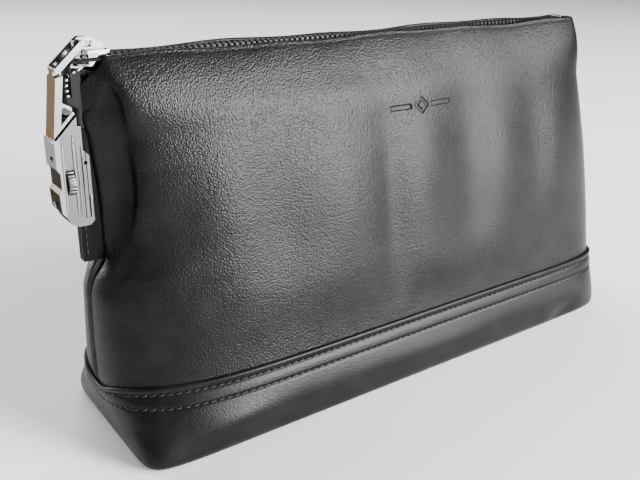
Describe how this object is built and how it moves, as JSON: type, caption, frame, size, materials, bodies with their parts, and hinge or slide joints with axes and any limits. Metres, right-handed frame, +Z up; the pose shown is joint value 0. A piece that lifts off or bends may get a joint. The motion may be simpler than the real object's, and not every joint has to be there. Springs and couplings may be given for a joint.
{
  "type": "zipped leather deposit bag",
  "caption": "Zipped black leather deposit pouch with a flat boxed base, a stitched lower band and a thumbwheel latch that holds the zip pull at one end.",
  "frame": {"origin": "middle of the flat base, where the bag stands", "axes": "+X along the bag away from the lock, +Y from front to back, +Z up"},
  "size_m": [0.2848, 0.0842, 0.1575],
  "materials": {
    "black_leather": "satin black pebble-grain leather",
    "stiffener_board": "pressed fibre board",
    "lining_cloth": "plain woven lining",
    "zip_tape": "black woven zip tape",
    "zip_teeth": "black nickel",
    "bright_chrome": "polished chrome plate",
    "dark_steel": "plain steel, lightly worn"
  },
  "bodies": {
    "bag": {"base_panel": "black_leather", "front_panel": "black_leather", "back_panel": "black_leather", "base_board": "stiffener_board", "lining": "lining_cloth", "left_seam_binding": "black_leather", "right_seam_binding": "black_leather", "lock_tab_front": "black_leather", "lock_tab_back": "black_leather", "zip_tape_front": "zip_tape", "zip_tape_back": "zip_tape", "zip_teeth_front": "zip_teeth", "zip_teeth_back": "zip_teeth", "zip_end_fold": "zip_tape", "zip_top_stops": "bright_chrome", "zip_bottom_stop": "bright_chrome", "lock_body": "bright_chrome", "lock_cover": "bright_chrome", "cover_screws": "bright_chrome", "tab_rivets": "bright_chrome", "bolt_spring": "dark_steel"},
    "slider": {"slider_body": "bright_chrome", "slider_bridge": "bright_chrome", "slider_pawl": "dark_steel"},
    "link": {"pull_link": "bright_chrome"},
    "pull": {"pull_tab": "bright_chrome"},
    "wheel": {"thumbwheel": "dark_steel", "wheel_spindle": "dark_steel"},
    "bolt": {"latch_bolt": "bright_chrome"}
  },
  "joints": [
    {"name": "zip_travel", "type": "slide", "parent": "bag", "child": "slider", "axis": [1, 0, 0], "range_m": [0, 0.05]},
    {"name": "link_swing", "type": "hinge", "parent": "slider", "child": "link", "pos_m": [-0.1319, 0, 0.1554], "axis": [0, 1, 0], "range_deg": [0, 200]},
    {"name": "pull_swing", "type": "hinge", "parent": "link", "child": "pull", "pos_m": [-0.141, 0, 0.1472], "axis": [0, 1, 0], "range_deg": [0, 60]},
    {"name": "wheel_turn", "type": "hinge", "parent": "bag", "child": "wheel", "pos_m": [-0.1413, -0.0041, 0.1085], "axis": [1, 0, 0], "range_deg": [0, 90]},
    {"name": "bolt_throw", "type": "slide", "parent": "bag", "child": "bolt", "axis": [-0.7071, 0, 0.7071], "range_m": [0, 0.0024]}
  ],
  "couplings": [
    {"joint": "link_swing", "follows": "zip_travel", "rad_per_m": 69.813},
    {"joint": "wheel_turn", "follows": "bolt_throw", "rad_per_m": 654.5}
  ]
}
